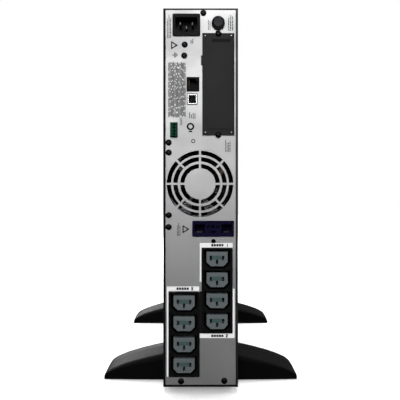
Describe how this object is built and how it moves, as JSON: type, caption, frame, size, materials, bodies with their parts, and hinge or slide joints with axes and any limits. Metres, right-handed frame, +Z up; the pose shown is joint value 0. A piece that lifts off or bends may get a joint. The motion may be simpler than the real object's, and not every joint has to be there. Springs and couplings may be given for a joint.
{
  "type": "rackmount ups",
  "caption": "Slim two-unit rack or tower power supply on tower feet, with a grey socket panel, fan grille, option slot, slide-out battery and turning display.",
  "frame": {"origin": "on the floor, midway between the feet's tips and midway between the front bezel's face and the rearmost plug", "axes": "+Z up; the connector panel faces -Y and the bezel and display face +Y; +X is to the right when looking at the connector panel"},
  "size_m": [0.235, 0.484, 0.4374],
  "materials": {
    "case_paint": "fine textured dark charcoal paint",
    "cover_paint": "fine textured black paint",
    "panel_paint": "satin mid-grey paint",
    "slot_paint": "satin charcoal paint",
    "tray_paint": "matt dark paint",
    "zinc": "bright zinc-plated sheet",
    "black_screw": "black-oxide steel",
    "core_steel": "laminated silicon steel, varnished",
    "plate_metal": "bright nickel plate",
    "heat_metal": "extruded, satin",
    "contact_brass": "satin",
    "standoff_brass": "machined",
    "front_plastic": "fine-textured moulded black",
    "head_plastic": "satin moulded black",
    "black_plastic": "satin moulded black",
    "fan_plastic": "satin moulded black",
    "jack_plastic": "gloss moulded black",
    "core_plastic": "satin grey with a green tint",
    "green_plastic": "satin moulded green",
    "blue_plastic": "satin moulded blue",
    "grey_plastic": "moulded grey",
    "cell_plastic": "moulded dark grey",
    "strap_plastic": "matt pale strip",
    "lead_plastic": "matt red insulation",
    "coil_wrap": "amber wound tape",
    "choke_wire": "enamelled winding",
    "board_green": "solder-mask green",
    "relay_plastic": "moulded blue",
    "capacitor_sleeve": "shrunk sleeve",
    "chip_plastic": "moulded black",
    "window_glass": "clear tinted window",
    "lcd_glass": "pale liquid-crystal panel",
    "button_plastic": "satin moulded dark",
    "power_plastic": "satin moulded light grey",
    "foot_plastic": "satin moulded black"
  },
  "bodies": {
    "chassis": {"chassis_tray": "case_paint", "side_cover": "cover_paint", "case_screws": "black_screw", "rear_panel": "panel_paint", "bay_partition": "zinc", "front_frame": "zinc", "display_panel": "front_plastic", "circuit_boards": "board_green", "board_standoffs": "standoff_brass", "heatsinks": "heat_metal", "power_transistors": "chip_plastic", "capacitors": "capacitor_sleeve", "relays": "relay_plastic", "filter_choke": "choke_wire", "transformer_core": "core_steel", "transformer_coil": "coil_wrap", "transformer_bracket": "zinc", "fan_frame": "fan_plastic", "inlet_housing": "black_plastic", "inlet_pins": "plate_metal", "breaker_body": "black_plastic", "outlet_block_left": "black_plastic", "outlet_block_right": "black_plastic", "outlet_cores": "core_plastic", "outlet_contacts": "contact_brass", "serial_jack": "jack_plastic", "usb_shell": "plate_metal", "usb_insert": "jack_plastic", "terminal_header": "green_plastic", "extension_socket": "blue_plastic", "extension_contacts": "plate_metal", "slot_cage": "zinc", "battery_socket": "grey_plastic"},
    "fan_rotor": {"fan_rotor": "fan_plastic"},
    "breaker_button": {"breaker_button": "button_plastic"},
    "terminal_plug": {"terminal_plug": "green_plastic"},
    "slot_cover": {"slot_cover": "slot_paint", "slot_cover_screws": "black_screw"},
    "battery_module": {"battery_tray": "tray_paint", "battery_blocks": "cell_plastic", "battery_leads": "lead_plastic", "battery_plug": "grey_plastic", "battery_strap": "strap_plastic"},
    "battery_door": {"battery_door": "tray_paint", "door_thumbscrews": "zinc"},
    "front_bezel": {"front_bezel": "front_plastic"},
    "display_head": {"display_housing": "head_plastic", "display_faceplate": "head_plastic", "display_window": "window_glass", "display_board": "board_green", "lcd_panel": "lcd_glass"},
    "power_button": {"power_button": "power_plastic"},
    "escape_button": {"escape_button": "button_plastic"},
    "down_button": {"down_button": "button_plastic"},
    "up_button": {"up_button": "button_plastic"},
    "enter_button": {"enter_button": "button_plastic"},
    "foot_rear_left": {"foot_rear_left": "foot_plastic"},
    "foot_rear_right": {"foot_rear_right": "foot_plastic"},
    "foot_front_left": {"foot_front_left": "foot_plastic"},
    "foot_front_right": {"foot_front_right": "foot_plastic"}
  },
  "joints": [
    {"name": "fan_spin", "type": "hinge", "parent": "chassis", "child": "fan_rotor", "pos_m": [-0.0007, -0.2225, 0.2368], "axis": [0, 1, 0], "continuous": true},
    {"name": "breaker_trip", "type": "slide", "parent": "chassis", "child": "breaker_button", "axis": [0, -1, 0], "range_m": [0, 0.0035]},
    {"name": "terminal_plug_pull", "type": "slide", "parent": "chassis", "child": "terminal_plug", "axis": [0, -1, 0], "range_m": [0, 0.014]},
    {"name": "slot_cover_removal", "type": "slide", "parent": "chassis", "child": "slot_cover", "axis": [0, -1, 0], "range_m": [0, 0.03]},
    {"name": "battery_slide", "type": "slide", "parent": "chassis", "child": "battery_module", "axis": [0, 1, 0], "range_m": [0, 0.34]},
    {"name": "battery_door_removal", "type": "slide", "parent": "battery_module", "child": "battery_door", "axis": [0, 1, 0], "range_m": [0, 0.04]},
    {"name": "bezel_removal", "type": "slide", "parent": "battery_door", "child": "front_bezel", "axis": [0, 1, 0], "range_m": [0, 0.05]},
    {"name": "display_turn", "type": "hinge", "parent": "chassis", "child": "display_head", "pos_m": [0, 0.234, 0.39], "axis": [0, 1, 0], "range_deg": [0, 90]},
    {"name": "power_button_press", "type": "slide", "parent": "display_head", "child": "power_button", "axis": [0, -1, 0], "range_m": [0, 0.0008], "stiffness_N_per_m": 400},
    {"name": "escape_button_press", "type": "slide", "parent": "display_head", "child": "escape_button", "axis": [0, -1, 0], "range_m": [0, 0.0008], "stiffness_N_per_m": 400},
    {"name": "down_button_press", "type": "slide", "parent": "display_head", "child": "down_button", "axis": [0, -1, 0], "range_m": [0, 0.0008], "stiffness_N_per_m": 400},
    {"name": "up_button_press", "type": "slide", "parent": "display_head", "child": "up_button", "axis": [0, -1, 0], "range_m": [0, 0.0008], "stiffness_N_per_m": 400},
    {"name": "enter_button_press", "type": "slide", "parent": "display_head", "child": "enter_button", "axis": [0, -1, 0], "range_m": [0, 0.0008], "stiffness_N_per_m": 400},
    {"name": "foot_rear_left_slide", "type": "slide", "parent": "chassis", "child": "foot_rear_left", "axis": [-1, 0, 0], "range_m": [0, 0.06]},
    {"name": "foot_rear_right_slide", "type": "slide", "parent": "chassis", "child": "foot_rear_right", "axis": [1, 0, 0], "range_m": [0, 0.06]},
    {"name": "foot_front_left_slide", "type": "slide", "parent": "chassis", "child": "foot_front_left", "axis": [-1, 0, 0], "range_m": [0, 0.06]},
    {"name": "foot_front_right_slide", "type": "slide", "parent": "chassis", "child": "foot_front_right", "axis": [1, 0, 0], "range_m": [0, 0.06]}
  ]
}
